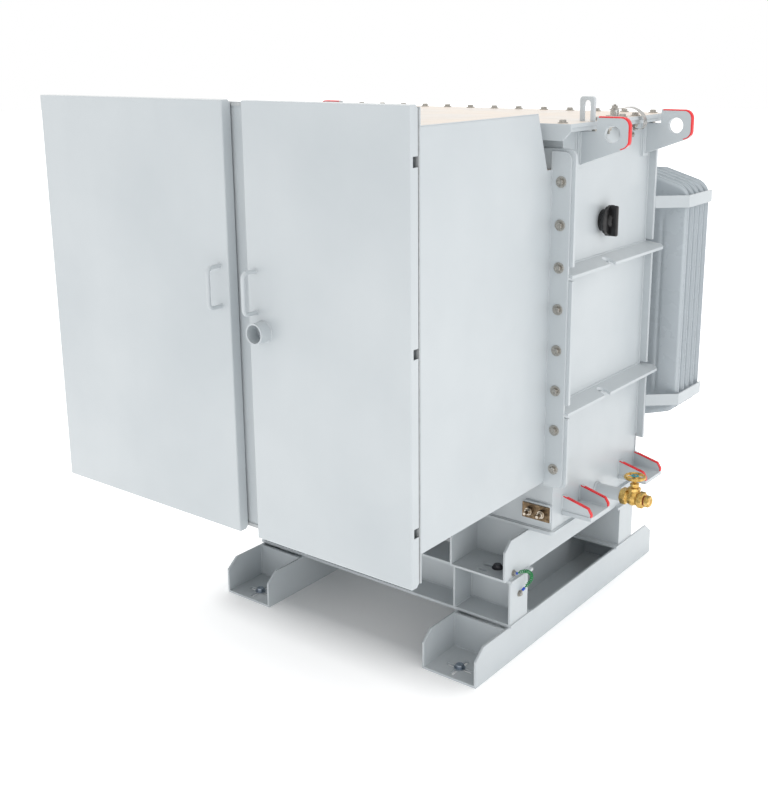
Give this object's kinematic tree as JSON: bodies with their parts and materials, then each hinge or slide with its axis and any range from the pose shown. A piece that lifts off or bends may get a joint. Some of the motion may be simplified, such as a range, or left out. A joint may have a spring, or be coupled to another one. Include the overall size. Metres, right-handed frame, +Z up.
{
  "type": "oil-filled power transformer with terminal cabinet",
  "caption": "Liquid-filled power transformer on a steel skid, with a double-door terminal cabinet in front, panel radiators behind, lifting lugs, jacking pads, tap changer and drain valve.",
  "frame": {"origin": "centre of the four floor anchor holes, on the underside of the skid", "axes": "+Z up, -Y towards the cabinet doors, +X to the side with the drain valve"},
  "size_m": [1.714, 1.646, 1.748],
  "materials": {
    "light_grey_paint": "satin powder coat",
    "plated_steel": "zinc plated",
    "tinned_braid": "woven tinned wire",
    "black_plastic": "moulded, matt",
    "brass": "cast and machined",
    "bronze": "dark tinned bronze",
    "grey_epoxy": "cast resin",
    "tinned_copper": "tin plated",
    "green_insulation": "extruded",
    "blue_insulated_lug": "moulded sleeve"
  },
  "bodies": {
    "transformer": {"bonding_jumper": "green_insulation", "cabinet_front_frame": "light_grey_paint", "cabinet_roof": "light_grey_paint", "cabinet_side_left": "light_grey_paint", "cabinet_side_right": "light_grey_paint", "channel_closure_plates": "light_grey_paint", "compartment_barrier": "light_grey_paint", "cross_beam_front": "light_grey_paint", "cross_beam_rear": "light_grey_paint", "door_hinge_brackets": "plated_steel", "drain_pipe": "light_grey_paint", "drain_plug": "brass", "drain_valve": "brass", "earth_strap": "tinned_braid", "earth_strap_posts": "plated_steel", "ground_block": "light_grey_paint", "ground_terminals": "bronze", "hv_bushings": "grey_epoxy", "jacking_pads": "light_grey_paint", "jumper_lugs": "blue_insulated_lug", "lid": "light_grey_paint", "lid_lifting_eye": "light_grey_paint", "lifting_lugs": "light_grey_paint", "lv_bushings": "tinned_copper", "radiator_headers_left": "light_grey_paint", "radiator_headers_right": "light_grey_paint", "radiator_panels_left": "light_grey_paint", "radiator_panels_right": "light_grey_paint", "radiator_straps": "light_grey_paint", "skid_left": "light_grey_paint", "skid_right": "light_grey_paint", "stiffener_belt_lower": "light_grey_paint", "stiffener_belt_upper": "light_grey_paint", "tank_bottom_plate": "light_grey_paint", "tank_front_plate": "light_grey_paint", "tank_rear_plate": "light_grey_paint", "tank_shell": "light_grey_paint", "tap_changer_boss": "black_plastic", "upper_channel_left": "light_grey_paint", "upper_channel_right": "light_grey_paint"},
    "left_door": {"left_door": "light_grey_paint", "left_hinge_knuckles": "plated_steel", "left_door_handle": "light_grey_paint"},
    "right_door": {"right_door": "light_grey_paint", "right_hinge_knuckles": "plated_steel", "right_door_handle": "light_grey_paint", "lock_guard": "light_grey_paint"},
    "tap_changer_handle": {"tap_changer_handle": "black_plastic"},
    "drain_handwheel": {"drain_handwheel": "brass"}
  },
  "joints": [
    {"name": "right_door_hinge", "type": "hinge", "parent": "transformer", "child": "right_door", "pos_m": [0.568, -0.977, 1.123], "axis": [0, 0, 1], "range_deg": [0, 115]},
    {"name": "left_door_hinge", "type": "hinge", "parent": "transformer", "child": "left_door", "pos_m": [-0.842, -0.977, 1.123], "axis": [0, 0, -1], "range_deg": [0, 115]},
    {"name": "tap_changer_turn", "type": "hinge", "parent": "transformer", "child": "tap_changer_handle", "pos_m": [0.617, -0.03, 1.36], "axis": [1, 0, 0], "range_deg": [-72, 72]},
    {"name": "drain_valve_turn", "type": "hinge", "parent": "transformer", "child": "drain_handwheel", "pos_m": [0.733, 0, 0.541], "axis": [0, 0, 1], "range_deg": [0, 1350]}
  ]
}
